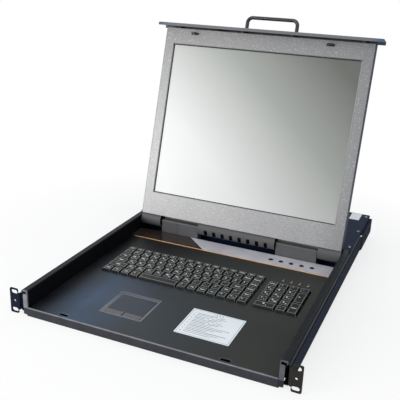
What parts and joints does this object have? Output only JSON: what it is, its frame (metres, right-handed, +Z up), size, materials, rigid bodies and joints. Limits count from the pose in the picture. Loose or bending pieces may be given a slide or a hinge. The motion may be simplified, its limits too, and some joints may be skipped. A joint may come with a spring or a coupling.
{
  "type": "rackmount lcd console drawer",
  "caption": "Rack-mounted drawer with keyboard, touchpad and a fold-up flat display in its lid, carried on telescopic ball slides.",
  "frame": {"origin": "centre of the four rack screw slots, on the front faces of the ears", "axes": "+X to the operator's right, +Y into the rack along the slides, +Z up"},
  "size_m": [0.4826, 0.6135, 0.4461],
  "materials": {
    "zinc_steel": "satin",
    "rail_steel": "zinc plated",
    "cage_steel": "plain",
    "bright_steel": "machined",
    "tray_paint": "satin powder coat",
    "deck_paint": "matt",
    "black_plastic": "matt",
    "membrane_rubber": "matt",
    "base_steel": "plain",
    "key_plastic": "fine texture",
    "touch_plastic": "satin",
    "card_film": "matt film",
    "light_lens": "clear",
    "panel_plastic": "matt",
    "dark_film": "gloss film",
    "silver_film": "satin film",
    "orange_trim": "gloss",
    "button_plastic": "satin",
    "board_laminate": "solder resist",
    "connector_shell": "plated",
    "cover_plastic": "satin",
    "lid_paint": "hammered",
    "screen_glass": "anti-glare",
    "display_case": "matt",
    "plate_paint": "satin powder coat",
    "handle_steel": "polished",
    "latch_steel": "plated"
  },
  "bodies": {
    "rack_mount": {"left_rack_bracket": "zinc_steel", "right_rack_bracket": "zinc_steel", "left_outer_rail": "rail_steel", "right_outer_rail": "rail_steel"},
    "left_middle_slide": {"left_middle_rail": "rail_steel"},
    "right_middle_slide": {"right_middle_rail": "rail_steel"},
    "outer_cages": {"outer_ball_cages": "cage_steel"},
    "inner_cages": {"inner_ball_cages": "cage_steel"},
    "drawer": {"drawer_tray": "tray_paint", "left_inner_rail": "rail_steel", "right_inner_rail": "rail_steel", "deck_plate": "deck_paint", "keyboard_frame": "black_plastic", "keyboard_membrane": "membrane_rubber", "keyboard_base_plate": "base_steel", "touchpad_surround": "touch_plastic", "touch_pad": "touch_plastic", "guide_card": "card_film", "status_lights": "light_lens", "control_panel": "panel_plastic", "panel_dark_film": "dark_film", "panel_silver_film": "silver_film", "trim_line": "orange_trim", "button_board": "board_laminate", "left_hinge_cover": "cover_plastic", "right_hinge_cover": "cover_plastic", "hinge_brackets": "base_steel", "hinge_pins": "bright_steel", "rear_cover": "tray_paint", "rear_panel": "tray_paint", "power_inlet": "black_plastic", "rear_connectors": "connector_shell", "controller_board": "board_laminate", "power_supply": "tray_paint"},
    "lid": {"lid_bezel": "lid_paint", "lid_back_shell": "lid_paint", "hinge_leaves": "base_steel", "display_panel": "display_case", "display_glass": "screen_glass", "display_brackets": "base_steel", "front_plate": "plate_paint", "bow_handle": "handle_steel"},
    "latch": {"latch_bar": "latch_steel"},
    "bottom_row": {"keys_bottom_row": "key_plastic"},
    "lower_row": {"keys_lower_row": "key_plastic"},
    "home_row": {"keys_home_row": "key_plastic"},
    "upper_row": {"keys_upper_row": "key_plastic"},
    "number_row": {"keys_number_row": "key_plastic"},
    "function_row": {"keys_function_row": "key_plastic"},
    "space": {"space_bar": "key_plastic"},
    "keypad": {"keypad_keys": "key_plastic"},
    "left_touch": {"left_touch_button": "touch_plastic"},
    "right_touch": {"right_touch_button": "touch_plastic"},
    "button_1": {"panel_button_1": "button_plastic"},
    "button_2": {"panel_button_2": "button_plastic"},
    "button_3": {"panel_button_3": "button_plastic"},
    "button_4": {"panel_button_4": "button_plastic"},
    "button_5": {"panel_button_5": "button_plastic"}
  },
  "joints": [
    {"name": "drawer_slide", "type": "slide", "parent": "rack_mount", "child": "drawer", "axis": [0, -1, 0], "range_m": [0, 0.41]},
    {"name": "left_middle_travel", "type": "slide", "parent": "rack_mount", "child": "left_middle_slide", "axis": [0, -1, 0], "range_m": [0, 0.205]},
    {"name": "right_middle_travel", "type": "slide", "parent": "rack_mount", "child": "right_middle_slide", "axis": [0, -1, 0], "range_m": [0, 0.205]},
    {"name": "outer_cage_travel", "type": "slide", "parent": "rack_mount", "child": "outer_cages", "axis": [0, -1, 0], "range_m": [0, 0.1025]},
    {"name": "inner_cage_travel", "type": "slide", "parent": "rack_mount", "child": "inner_cages", "axis": [0, -1, 0], "range_m": [0, 0.3075]},
    {"name": "lid_hinge", "type": "hinge", "parent": "drawer", "child": "lid", "pos_m": [0, 0.3908, 0.0141], "axis": [-1, 0, 0], "range_deg": [-105.8, 4.2]},
    {"name": "latch_slide", "type": "slide", "parent": "lid", "child": "latch", "axis": [1, 0, 0], "range_m": [0, 0.004]},
    {"name": "bottom_row_press", "type": "slide", "parent": "drawer", "child": "bottom_row", "axis": [0, 0, -1], "range_m": [0, 0.0022], "stiffness_N_per_m": 1650, "springref_m": -0.002},
    {"name": "lower_row_press", "type": "slide", "parent": "drawer", "child": "lower_row", "axis": [0, 0, -1], "range_m": [0, 0.0022], "stiffness_N_per_m": 2100, "springref_m": -0.002},
    {"name": "home_row_press", "type": "slide", "parent": "drawer", "child": "home_row", "axis": [0, 0, -1], "range_m": [0, 0.0022], "stiffness_N_per_m": 2100, "springref_m": -0.002},
    {"name": "upper_row_press", "type": "slide", "parent": "drawer", "child": "upper_row", "axis": [0, 0, -1], "range_m": [0, 0.0022], "stiffness_N_per_m": 2250, "springref_m": -0.002},
    {"name": "number_row_press", "type": "slide", "parent": "drawer", "child": "number_row", "axis": [0, 0, -1], "range_m": [0, 0.0022], "stiffness_N_per_m": 2250, "springref_m": -0.002},
    {"name": "function_row_press", "type": "slide", "parent": "drawer", "child": "function_row", "axis": [0, 0, -1], "range_m": [0, 0.0022], "stiffness_N_per_m": 2400, "springref_m": -0.002},
    {"name": "space_bar_press", "type": "slide", "parent": "drawer", "child": "space", "axis": [0, 0, -1], "range_m": [0, 0.0022], "stiffness_N_per_m": 150, "springref_m": -0.002},
    {"name": "keypad_press", "type": "slide", "parent": "drawer", "child": "keypad", "axis": [0, 0, -1], "range_m": [0, 0.0022], "stiffness_N_per_m": 2550, "springref_m": -0.002},
    {"name": "left_touch_press", "type": "slide", "parent": "drawer", "child": "left_touch", "axis": [0, 0, -1], "range_m": [0, 0.0008], "stiffness_N_per_m": 800, "springref_m": -0.0005},
    {"name": "right_touch_press", "type": "slide", "parent": "drawer", "child": "right_touch", "axis": [0, 0, -1], "range_m": [0, 0.0008], "stiffness_N_per_m": 800, "springref_m": -0.0005},
    {"name": "panel_button_1_press", "type": "slide", "parent": "drawer", "child": "button_1", "axis": [0, 0, -1], "range_m": [0, 0.0008], "stiffness_N_per_m": 600, "springref_m": -0.0006},
    {"name": "panel_button_2_press", "type": "slide", "parent": "drawer", "child": "button_2", "axis": [0, 0, -1], "range_m": [0, 0.0008], "stiffness_N_per_m": 600, "springref_m": -0.0006},
    {"name": "panel_button_3_press", "type": "slide", "parent": "drawer", "child": "button_3", "axis": [0, 0, -1], "range_m": [0, 0.0008], "stiffness_N_per_m": 600, "springref_m": -0.0006},
    {"name": "panel_button_4_press", "type": "slide", "parent": "drawer", "child": "button_4", "axis": [0, 0, -1], "range_m": [0, 0.0008], "stiffness_N_per_m": 600, "springref_m": -0.0006},
    {"name": "panel_button_5_press", "type": "slide", "parent": "drawer", "child": "button_5", "axis": [0, 0, -1], "range_m": [0, 0.0008], "stiffness_N_per_m": 600, "springref_m": -0.0006}
  ],
  "couplings": [
    {"joint": "left_middle_travel", "follows": "drawer_slide", "ratio": 0.5},
    {"joint": "right_middle_travel", "follows": "drawer_slide", "ratio": 0.5},
    {"joint": "outer_cage_travel", "follows": "drawer_slide", "ratio": 0.25},
    {"joint": "inner_cage_travel", "follows": "drawer_slide", "ratio": 0.75}
  ]
}
